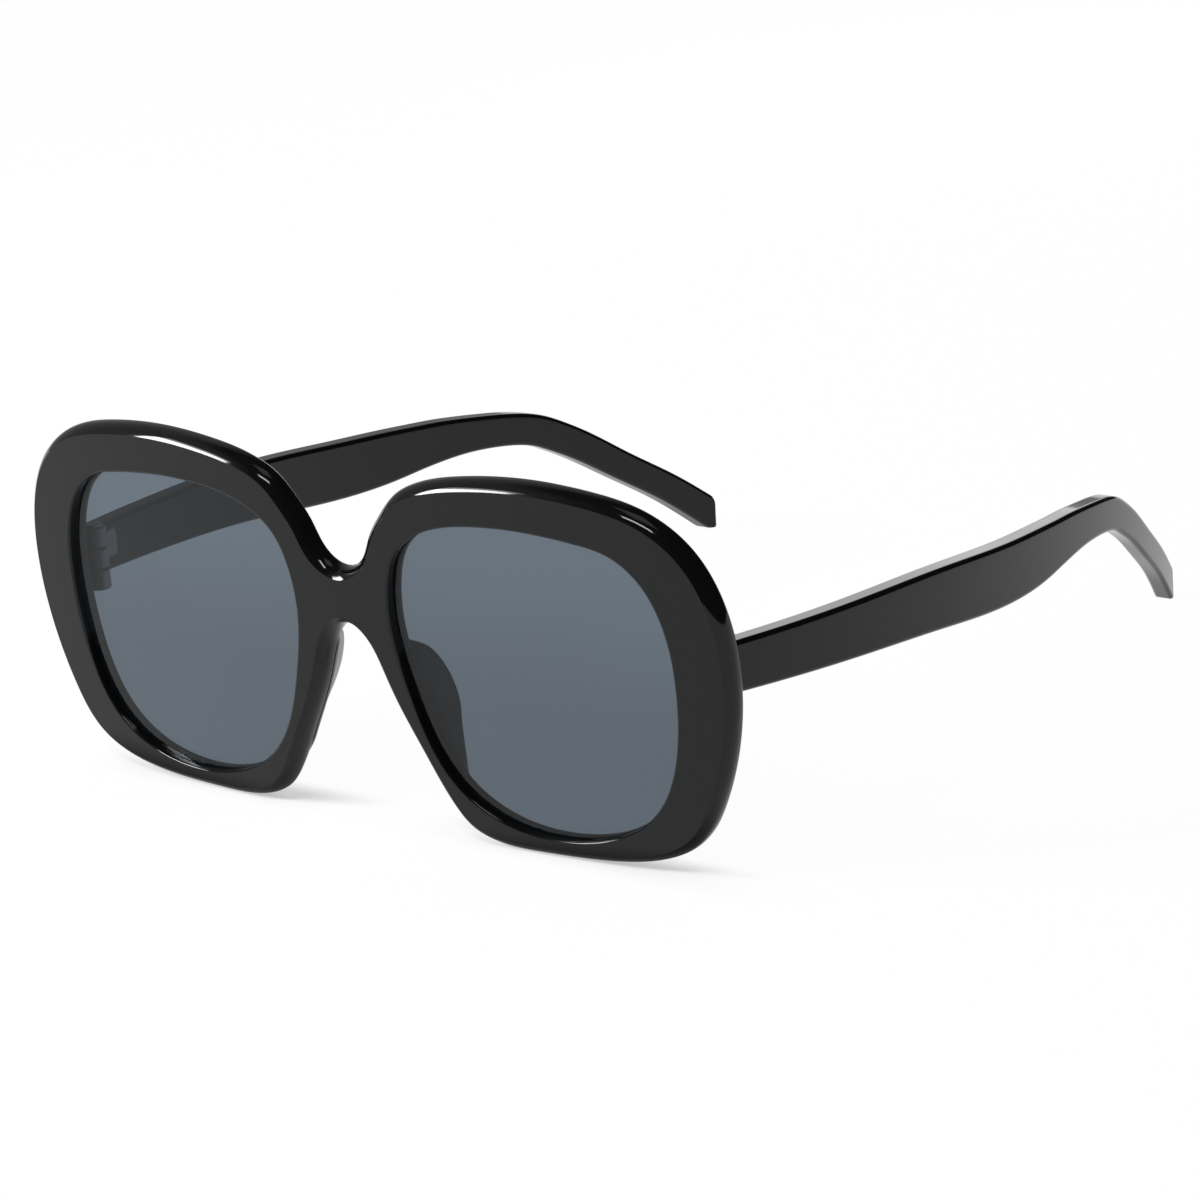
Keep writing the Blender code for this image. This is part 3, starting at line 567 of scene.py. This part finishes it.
class GLASSES_OT_front(bpy.types.Operator):
    """Makes the front: two rims, the bridge and the end pieces in one moulding"""
    bl_idname = "glasses.front"
    bl_label = "Front"

    def execute(self, context):
        """Each half has four grids with the same columns: its edge, two faces and its opening's wall."""
        size = context.scene.glasses_front
        front = Front(size)
        rim, ahead = front.outline(np.linspace(0, 0.5, OUTER_COLUMNS // 2 + 1))
        out = outward(ahead)
        out[0] = (0.0, 1.0)
        out[-1] = (0.0, -1.0)
        fore = self.border(rim, out, size.shoulder_width)
        back = self.border(rim, out, size.rear_radius)
        hole, hole_out = self.facing_opening(front, fore)
        inner = hole + size.opening_radius * hole_out
        rows = np.linspace(EDGE_SHARE, 1 - EDGE_SHARE, 9)
        share = np.concatenate([[0.0], rows, [1.0]])[:, None, None]
        faces = [front.standing(border + share * (inner - border), depth)
                 for border, depth in ((fore, 0.0), (back, size.thickness))]
        edge = front.strip(rim, -out, self.edge_rows(size))
        wall = front.strip(hole, hole_out, self.wall_rows(size))
        grids = [edge, *faces, wall]
        made = piece("front_surface", grids + mirrored(grids), finish("gloss_black"), sharp=28)
        stands_for(made, "front_frame", "front")
        return {"FINISHED"}

    @staticmethod
    def border(rim, out, inset):
        """A half face's closed border: the outline moved inward, then up the middle of the bridge."""
        edge = rim - inset * out
        height = np.linspace(edge[-1, 1], edge[0, 1], BRIDGE_COLUMNS)[1:-1]
        return np.concatenate([edge, np.stack([0 * height, height], axis=1), edge[:1]])

    @staticmethod
    def facing_opening(front, border):
        """For each border point, the opening's point that lies on the same ray from the opening's middle."""
        at = np.linspace(0, 1, 4001)
        hole = front.opening(at)[0]
        centre = hole[:-1].mean(axis=0)
        turn = np.unwrap(np.arctan2(*(hole - centre).T[::-1]))
        wanted = np.unwrap(np.arctan2(*(border - centre).T[::-1]))
        wanted -= 2 * math.pi * np.round((wanted.mean() - turn.mean()) / (2 * math.pi))
        span = turn[-1] - turn[0]
        share = ((wanted - turn[0]) / span) % 1.0
        hole, ahead = front.opening(np.interp(share, (turn - turn[0]) / span, at) % 1.0)
        return hole, outward(ahead)

    @staticmethod
    def edge_rows(size):
        """(inset, depth) over the outer edge: shoulder from its crease, wall, then the rear edge.

        Along the shoulder the surface turns from the starting angle t0 to square: the inset is
        w (1 - (sin t - sin t0) / (1 - sin t0)), the depth d (cos t0 - cos t) / cos t0.
        """
        start = size.shoulder_start
        t = np.linspace(start, math.pi / 2, 15)
        inset = size.shoulder_width * (1 - (np.sin(t) - math.sin(start)) / (1 - math.sin(start)))
        depth = size.shoulder_depth * (math.cos(start) - np.cos(t)) / math.cos(start)
        flat_end = size.thickness - size.rear_radius
        t = np.linspace(0, math.pi / 2, 9)
        rear = size.rear_radius * (1 - np.cos(t))
        down = flat_end + size.rear_radius * np.sin(t)
        wall = np.linspace(size.shoulder_depth, flat_end, 4)[1:-1]
        inset = np.concatenate([inset, 0 * wall, rear])
        depth = np.concatenate([depth, wall, down])
        return np.stack([inset, depth], axis=1)

    @staticmethod
    def wall_rows(size):
        """(grow, depth) down the opening's wall: round edge, lens groove, round edge."""
        r = size.opening_radius
        t = np.linspace(0, math.pi / 2, 6)
        fore = np.stack([r * (1 - np.sin(t)), r * (1 - np.cos(t))], axis=1)
        rear = np.stack([fore[::-1, 0], size.thickness - fore[::-1, 1]], axis=1)
        low, high = size.lip, size.lip + size.lens_thickness
        groove = np.array([(0.0, low), (size.groove, low), (size.groove, high), (0.0, high)])
        return np.concatenate([fore, groove, rear])


class GLASSES_OT_lenses(bpy.types.Operator):
    """Makes the two lenses"""
    bl_idname = "glasses.lenses"
    bl_label = "Lenses"

    def execute(self, context):
        """A face is the opening's outline shrunk to its middle in rings and bent as the front is."""
        size = context.scene.glasses_front
        front = Front(size)
        hole, ahead = front.opening(np.linspace(0, 1, 361) % 1.0)
        out = outward(ahead)
        fit = 0.0001
        bevel = 0.0001
        rim = hole + (size.groove - fit) * out
        centre = hole[:-1].mean(axis=0)
        plan = centre + np.linspace(0, 1, 14)[:, None, None] * (rim - bevel * out - centre)
        low = size.lip + fit
        high = size.lip + size.lens_thickness - fit
        faces = [front.standing(plan, depth) for depth in (low, high)]
        edges = [front.standing(rim, depth) for depth in (low + bevel, high - bevel)]
        wall = np.stack([faces[0][-1], *edges, faces[1][-1]])
        for side in SIDES:
            sided("lens", side, [*faces, wall], "grey_tint")
        return {"FINISHED"}


class GLASSES_OT_pads(bpy.types.Operator):
    """Makes the two nose pads"""
    bl_idname = "glasses.pads"
    bl_label = "Nose pads"

    def execute(self, context):
        """A fin behind the rim.

        Along it the reach follows the pad's table and both ends are rounded. Across it, for a turn
        from one foot over the tip to the other, the fin is a squarish half oval that leans outward
        and narrows to its tip, and each foot spreads into the rim.
        """
        size = context.scene.glasses_pads
        front = Front(context.scene.glasses_front)
        top_share, foot_share = 0.12, 0.2
        taper_share = 0.36
        spread, spread_height = 0.0007, 0.0006
        along = (1 - np.cos(np.linspace(0, math.pi, 81))) / 2
        arch = OUTLINE_SHARES[-1][1] * front.height
        height = arch - size.drop - size.height * along
        ends = quarter_round(along / top_share) * quarter_round((1 - along) / foot_share)
        reach = (read(PAD_REACH_SHARES, along) * ends)[:, None]
        wide = (size.width / 2 * ends)[:, None]
        turn = np.linspace(0, math.pi, 41)[None, :]
        up = np.abs(np.sin(turn)) ** 0.75
        out = np.sign(np.cos(turn)) * np.abs(np.cos(turn)) ** 0.85
        depth = size.depth * reach * up
        foot = spread * np.exp(-depth / spread_height) * np.sign(out) * wide / wide.max()
        across = size.flare * reach * up + wide * out * (1 - taper_share * up) + foot
        middle = (front.nasal_edge(height) + size.inset)[:, None]
        plan = np.stack([middle + across, height[:, None] + 0 * across], axis=-1)
        skin = front.bent(plan, front.size.thickness + depth)
        low = front.bent(plan[:, [0, -1]], front.size.thickness - size.sink)
        grid = np.concatenate([low[:, :1], skin, low[:, 1:], low[:, :1]], axis=1)
        caps = [grid[0, :-1], grid[-1, :-1]]
        for side in SIDES:
            sided("nose_pad", side, [grid], "satin_black", sharp=50, caps=caps)
        return {"FINISHED"}


class Temple:
    """The left temple's centre line and faces."""

    def __init__(self, size, front):
        self.size = size
        self.front = front
        self.offset = front.half_width - size.inset
        self.start = float(front.rear_y(self.offset, size.hinge_height, size.gap))
        self.rise = 2 * size.bow + 2 * math.sqrt(size.bow**2 + size.bow * size.tip_inset)
        self.fall = self.rise + size.tip_inset
        self.line = [(size.length * along, size.hinge_height * up) for along, up in CENTRE_SHARES]
        self.line.append((size.length, size.tip_end))
        places = spline(self.line, np.linspace(0, 1, 900))[0]
        self.run = float(np.hypot(*np.diff(places, axis=0).T).sum())

    def face_x(self, y):
        """The outer face bows outward, then comes in to the tip: offset + rise a - fall a squared."""
        along = (y - self.start) / self.size.length
        return self.offset + self.rise * along - self.fall * along**2

    def stations(self, at):
        """Places on the centre line, the slope that each section is square to, and its growth in height.

        Over the tip's last stretch the slope falls evenly to nothing, because the tip is cut
        upright, and a section grows by one over the cosine of what its slope has lost.
        """
        place, ahead = spline(self.line, at)
        slope = np.arctan2(ahead[:, 1], ahead[:, 0])
        square = slope * np.clip((1 - at) * self.run / self.size.tip_cut, 0, 1)
        return place, square, 1 / np.cos(slope - square)

    def set_square(self, at, inward, across):
        """A section (inward from the outer face, across the centre line) set on the centre line."""
        place, square, _ = self.stations(at)
        y = self.start + place[:, :1] - across * np.sin(square)[:, None]
        z = place[:, 1:] + across * np.cos(square)[:, None]
        return np.stack([self.face_x(y) - inward, y, z], axis=-1)


class GLASSES_OT_temples(bpy.types.Operator):
    """Makes the two temples"""
    bl_idname = "glasses.temples"
    bl_label = "Temples"

    def execute(self, context):
        """A rounded section carried along the centre line, shrunk at both ends to round them."""
        size = context.scene.glasses_temples
        temple = Temple(size, Front(context.scene.glasses_front))
        front_round, front_depth = 0.0004, 0.00025
        tip_side_radius = 0.0007
        cut_length = 0.004
        end = size.tip_radius / temple.run
        start = front_round / temple.run
        t = np.linspace(0, math.pi / 2, 13)
        at = np.concatenate([start * (1 - np.cos(t[::3])), np.linspace(start, 1 - end, 330)[1:],
                             1 - end * (1 - np.sin(t[1:]))])
        gone, left = at * temple.run, (1 - at) * temple.run
        place, _, growth = temple.stations(at)
        high = size.blade * read(HEIGHT_SHARES, place[:, 0] / size.length) * growth
        high = high - 2 * size.tip_radius * (1 - quarter_round(left / size.tip_radius))
        thin = tip_side_radius * (1 - quarter_round(left / tip_side_radius))
        fore = front_depth * (1 - quarter_round(gone / front_round))
        inward, across = self.section(size, high / 2 - fore, thin + fore)
        grid = temple.set_square(at, inward, across)
        # The front end is cut to the back of the front, and the cut fades out behind it
        cut = temple.front.rear_y(grid[0, :, 0], grid[0, :, 2], size.gap) - grid[0, :, 1]
        grid[..., 1] += cut * np.clip(1 - gone / cut_length, 0, 1)[:, None]
        grid[..., 2] = np.maximum(grid[..., 2], 0.0)
        ends = []
        for row in (grid[0], grid[-1]):
            centre = row[:-1].mean(axis=0)
            ends.append(centre + np.linspace(1, 0, 4)[:, None, None] * (row - centre))
        for side in SIDES:
            sided("temple", side, [grid, *ends], "gloss_black", side + "_temple", sharp=28)
        return {"FINISHED"}

    @staticmethod
    def section(size, half, thin):
        """Rows of a rounded rectangle: inward from the outer face, and across the centre line.

        Each corner is a quarter circle with a short straight before and after it, which keeps the
        gloss on the faces flat, and is the corner before it turned by a quarter.
        """
        radius = size.edge_radius
        straight = 0.00008
        turn = np.linspace(0, math.pi / 2, 8)
        corner = radius * np.stack([-np.sin(turn), np.cos(turn)])
        corner = np.column_stack([(straight, radius), corner, (-radius, -straight)])
        inward, across = [], []
        for inner, up in ((False, 1), (False, -1), (True, -1), (True, 1)):
            middle = size.thickness - radius - thin if inner else radius + thin
            inward.append(middle[:, None] + corner[0])
            across.append(up * (half[:, None] - radius) + corner[1])
            corner = np.stack([-corner[1], corner[0]])
        inward.append(inward[0][:, :1])
        across.append(across[0][:, :1])
        return np.concatenate(inward, axis=1), np.concatenate(across, axis=1)


def slab(outline, rows, place):
    """A solid over a clockwise outline: for each row, the outline moved inward and set at a height."""
    ahead = np.roll(outline, -1, axis=0) - np.roll(outline, 1, axis=0)
    ahead /= np.linalg.norm(ahead, axis=1)[:, None]
    out = outward(ahead)
    loops = [place(outline - inset * out, height) for inset, height in rows]
    grid = np.stack([np.concatenate([loop, loop[:1]]) for loop in loops])
    return grid, [loops[0], loops[-1]]


def chamfered(low, high, chamfer):
    """Rows of a slab with both its edges cut at 45 degrees."""
    return [(chamfer, low), (0.0, low + chamfer), (0.0, high - chamfer), (chamfer, high)]


def rounded_box(x0, x1, y0, y1, radius):
    """A clockwise rectangle with round corners."""
    t = np.linspace(0, math.pi / 2, 6)
    corners = []
    for cx, cy, start in ((x0 + radius, y1 - radius, math.pi), (x1 - radius, y1 - radius, math.pi / 2),
                          (x1 - radius, y0 + radius, 0.0), (x0 + radius, y0 + radius, -math.pi / 2)):
        corners.append(np.stack([cx + radius * np.cos(start - t), cy + radius * np.sin(start - t)], axis=1))
    return np.concatenate(corners)


def upright(points, height):
    """Places seen from above, at one height."""
    return np.column_stack([points, np.full(len(points), height)])


class GLASSES_OT_hinges(bpy.types.Operator):
    """Makes the hinge leaves and the screws"""
    bl_idname = "glasses.hinges"
    bl_label = "Hinges"

    def execute(self, context):
        """Plates and knuckles are slabs, and a screw is a profile turned about the hinge's axis."""
        size = context.scene.glasses_hinges
        temple = Temple(context.scene.glasses_temples, Front(context.scene.glasses_front))
        low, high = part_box("hinge_screw_left")
        self.axis = np.array(((low.x + high.x) / 2, (low.y + high.y) / 2))
        self.middle = temple.size.hinge_height
        knuckle = (size.barrel - 2 * size.gap) / 3
        bottom = self.middle - size.barrel / 2
        starts = [bottom + k * (knuckle + size.gap) for k in range(3)]
        spans = [(start, start + knuckle) for start in starts]
        leaf, screw = ("hinge_steel", "hinge_metal"), ("screw_steel", "screw_metal")
        parts = (
            ("front_hinge", "front", leaf, self.front_leaf(size, temple, spans)),
            ("temple_hinge", "{}_temple", leaf, self.temple_leaf(size, temple, spans[1])),
            ("hinge_screw", "front", screw, self.screw(size, bottom, spans[2][1])),
        )
        for side in SIDES:
            for name, body, (shade, slot), (grids, caps) in parts:
                sided(name, side, grids, shade, body.format(side), sharp=35, caps=caps)
        return {"FINISHED"}

    def ring(self, size, first, last):
        """A knuckle's round part from above, between two angles in degrees."""
        t = np.radians(np.linspace(first, last, 37))
        return self.axis + size.knuckle_radius * np.stack([np.cos(t), np.sin(t)], axis=1)

    @staticmethod
    def plate_rows(low, high):
        """Rows of a plate with a fine bevel round its visible face."""
        bevel = 0.00008
        return [(0.0, low), (0.0, high - bevel), (bevel, high)]

    def front_leaf(self, size, temple, spans):
        """A plate in the end piece, and two knuckles with an arm that goes forward to it."""
        front = temple.front
        corner = 0.0008
        overlap = 0.0009
        near = temple.offset - temple.size.thickness - size.plate_thickness
        thick = front.size.thickness
        back = front.size.bend_radius - thick
        across = [front.size.bend_radius * math.asin(x / back) for x in (near, near + size.plate_width)]
        middle = front.height_at(near, self.middle)
        plate = rounded_box(*across, middle - size.plate_height / 2, middle + size.plate_height / 2, corner)
        rows = self.plate_rows(thick - size.plate_thickness / 2, thick + size.plate_proud)
        grid, caps = slab(plate, rows, front.bent)
        grids = [grid]
        reach = self.axis[1] - size.knuckle_radius - overlap
        arm = np.array([(self.axis[0] + size.knuckle_radius, reach), (near, reach),
                        (near, self.axis[1] - size.knuckle_radius)])
        outline = np.concatenate([self.ring(size, -90, -360), arm])
        for low, high in (spans[0], spans[2]):
            grid, ends = slab(outline, chamfered(low, high, size.chamfer), upright)
            grids.append(grid)
            caps += ends
        return grids, caps

    def temple_leaf(self, size, temple, span):
        """A plate in the temple's inner face, and one knuckle with an arm that goes back to it."""
        corner = 0.0009
        sunk = 0.0005
        arm_sunk = 0.0004
        overlap = 0.0002
        start = temple.start + size.leaf_start
        plate = rounded_box(start, start + size.leaf_length, self.middle - size.leaf_height / 2,
                            self.middle + size.leaf_height / 2, corner)
        thick = temple.size.thickness

        def on_inner_face(points, inward):
            return np.stack([temple.face_x(points[:, 0]) - inward, points[:, 0], points[:, 1]], axis=1)

        grid, caps = slab(plate, self.plate_rows(thick - sunk, thick + size.plate_proud), on_inner_face)
        outer = temple.face_x(self.axis[1]) - thick + arm_sunk
        arm = np.array([(outer, self.axis[1] + size.knuckle_radius), (outer, start + overlap),
                        (self.axis[0] + 0.9 * size.knuckle_radius, start + overlap)])
        outline = np.concatenate([self.ring(size, -35, -270), arm])
        knuckle, ends = slab(outline, chamfered(*span, size.chamfer), upright)
        return [grid, knuckle], caps + ends

    def screw(self, size, bottom, top):
        """A turned shank, and a head in two halves beside its slot."""
        edge = 0.0001
        slot_depth = 0.0003
        half_sunk = 0.00005
        bevel = 0.00012
        head = top + size.head_height
        floor = head - slot_depth
        shank = 0.8 * size.screw_radius
        profile = np.array([(0, bottom - edge), (0.55 * size.screw_radius, bottom - edge),
                            (shank, bottom + edge), (shank, top), (1.5 * size.screw_radius, top),
                            (size.head_radius, top + edge), (size.head_radius, floor), (0, floor)])
        radius, height = profile[:, :1], profile[:, 1:]
        t = np.linspace(0, 2 * math.pi, 49)[None, :]
        grids = [np.stack([self.axis[0] + radius * np.cos(t), self.axis[1] + radius * np.sin(t),
                           height + 0 * t], axis=-1)]
        caps = []
        first = math.asin(size.slot / 2 / size.head_radius)
        turn = np.linspace(math.pi - first, first, 25)
        half = size.head_radius * np.stack([np.cos(turn), np.sin(turn)], axis=1)
        rows = [(0.0, floor - half_sunk), (0.0, head - bevel), (bevel, head)]
        for outline in (self.axis + half, self.axis - half):
            grid, ends = slab(outline, rows, upright)
            grids.append(grid)
            caps += ends
        return grids, caps


class GLASSES_OT_cores(bpy.types.Operator):
    """Gives the wires inside the temples their metal"""
    bl_idname = "glasses.cores"
    bl_label = "Core wires"

    def execute(self, context):
        for side in SIDES:
            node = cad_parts["temple_core_" + side]
            node.data.materials.clear()
            node.data.materials.append(finish("wire_metal"))
        return {"FINISHED"}


class GLASSES_OT_stage(bpy.types.Operator):
    """Makes the floor, the lights and the camera"""
    bl_idname = "glasses.stage"
    bl_label = "Stage"

    def execute(self, context):
        size = context.scene.glasses_studio
        self.floor(size)
        self.world(size)
        self.lamps(size)
        self.camera(size)
        context.scene.view_settings.view_transform = "Standard"
        return {"FINISHED"}

    def floor(self, size):
        """White all over, and in a strip close to the front's feet more of the lit matt floor, so that the
        rendered contact shadow shows more there.

        The front's gloss mirrors a painted dark patch of floor where it stands on it: painted shade, seen
        only in reflections. The strip and the patch fade with the distance from the line that the two feet
        stand on, and from the middle of the nearer foot.
        """
        feet_y, foot_x = -0.069, 0.042
        reach = 3.0
        white_share, strip_share, foot_share = 0.96, 0.5, 0.9
        made, graph, place = material("floor_white")
        mirror = graph.ray("Glossy")
        seen = graph.ray("Camera") + graph.ray("Transmission") + mirror
        white = (1.0, 1.0, 1.0)
        matt = graph.add("BsdfDiffuse", {}, {"Color": tuple(size.floor)})
        bright = graph.add("Emission", {}, {"Color": white, "Strength": 1.0})
        # Painted reflection: near the feet, glossy rays meet this dim emission instead of the floor, which
        # paints shade into the front's gloss
        dark = graph.add("Emission", {}, {"Color": white, "Strength": 0.15})
        along = abs(graph.part(place, "Y") - feet_y)
        aside = abs(abs(graph.part(place, "X")) - foot_x)
        under = graph.fade(along, 0.001, 0.007) * graph.fade(aside, 0.03, 0.05)
        # Where the painted dark reflection shows in the front's gloss
        foot = graph.fade(along, 0.002, 0.010) * graph.fade(aside, 0.018, 0.034)
        share = white_share - strip_share * under
        both = graph.add("MixShader", {}, {0: share * seen, 1: matt, 2: bright})
        both = graph.add("MixShader", {}, {0: foot_share * foot * mirror, 1: both, 2: dark})
        graph.add("OutputMaterial", {}, {"Surface": both})
        across = np.linspace(-reach, reach, 3)
        x, y = np.meshgrid(across, across, indexing="ij")
        grid = np.stack([x, y, 0 * x], axis=-1)
        mesh = bpy.data.meshes.new("floor")
        mesh.from_pydata(grid.reshape(-1, 3).tolist(), [], quads(grid, 0).tolist())
        mesh.materials.append(made)
        plane = put("floor", mesh)

    def world(self, size):
        """White to the camera, soft light all round, and for the gloss a dim room with a pale left wall."""
        room_level, wall_level = 0.02, 0.35
        world = bpy.data.worlds.new("studio")
        bpy.context.scene.world = world
        graph = Graph(world)
        mirror = graph.ray("Glossy")
        seen = graph.ray("Camera") + graph.ray("Transmission")
        way = graph.add("TexCoord", output="Generated")
        wall = graph.fade(graph.part(way, "X"), -0.6, -0.2) * graph.fade(graph.part(way, "Z"), 0.75, 0.9)
        backdrop = room_level + wall_level * wall
        level = seen + mirror * backdrop + size.ambient * (1.0 - seen) * (1.0 - mirror)
        sky = graph.add("Background", {}, {"Color": (1.0, 1.0, 1.0), "Strength": level})
        graph.add("OutputWorld", {}, {"Surface": sky})

    def lamps(self, size):
        """Panels of light: name, place, what it points at, width, height and watts."""
        def panel(name, place, aim, wide, high, power):
            lamp = bpy.data.lights.new(name, "AREA")
            lamp.shape = "RECTANGLE"
            lamp.size, lamp.size_y = wide, high
            lamp.energy = power
            way = Vector(aim) - Vector(place)
            turn = way.to_track_quat("-Z", "Y").to_matrix().to_4x4()
            put(name, lamp).matrix_world = Matrix.Translation(place) @ turn

        middle = (0.0, 0.0, 0.0)
        panel("light_above", (0.1, -0.1, 1.3), middle, 0.5, 0.5, size.top_light)
        panel("light_front_left", (-0.834, -0.764, 0.640), middle, 0.45, 0.25, 14.0)
        panel("light_front_left_edge", (-0.766, -0.702, 0.785), middle, 0.45, 0.11, 1.0)
        panel("light_over_front", (0.143, -0.673, 0.983), middle, 0.42, 0.11, 3.0)
        panel("light_behind", (-0.234, 0.456, 0.17), (0.0, 0.18, 0.03), 0.21, 0.2, 0.2)

    def camera(self, size):
        """Set back from its target along its direction, and rolled about it."""
        lens = bpy.data.cameras.new("camera")
        lens.sensor_width = 36.0
        lens.lens = size.lens
        lens.clip_start = 0.05
        made = put("camera", lens)
        a, e, roll = size.azimuth, size.elevation, size.roll
        back = Vector((math.sin(a) * math.cos(e), -math.cos(a) * math.cos(e), math.sin(e)))
        right = (-back).cross(Vector((0, 0, 1))).normalized()
        up = right.cross(-back)
        across = right * math.cos(roll) + up * math.sin(roll)
        over = up * math.cos(roll) - right * math.sin(roll)
        turn = Matrix((across, over, back)).transposed().to_4x4()
        made.matrix_world = Matrix.Translation(Vector(size.target) + back * size.distance) @ turn
        bpy.context.scene.camera = made


class GLASSES_PT_panel(bpy.types.Panel):
    """Lists the sizes, the colours and the pieces"""
    bl_idname = "GLASSES_PT_panel"
    bl_label = "Sunglasses"
    bl_space_type = "VIEW_3D"
    bl_region_type = "UI"
    bl_category = "Sunglasses"

    def draw(self, context):
        for name, group in GROUPS.items():
            box = self.layout.box()
            box.label(text=group.__doc__)
            for key in group.__annotations__:
                box.prop(getattr(context.scene, name), key)
        for made in OPERATORS:
            self.layout.operator(made.bl_idname)


OPERATORS = (GLASSES_OT_stage, GLASSES_OT_front, GLASSES_OT_lenses, GLASSES_OT_pads, GLASSES_OT_temples,
             GLASSES_OT_hinges, GLASSES_OT_cores)


def register():
    for made in (*GROUPS.values(), *OPERATORS, GLASSES_PT_panel):
        bpy.utils.register_class(made)
    for name, group in GROUPS.items():
        setattr(bpy.types.Scene, name, PointerProperty(type=group))


def unregister():
    for name in GROUPS:
        delattr(bpy.types.Scene, name)
    for made in reversed((*GROUPS.values(), *OPERATORS, GLASSES_PT_panel)):
        bpy.utils.unregister_class(made)


def main():
    register()
    for made in OPERATORS:
        getattr(bpy.ops.glasses, made.bl_idname.split(".")[1])()


if __name__ == "__main__":
    main()
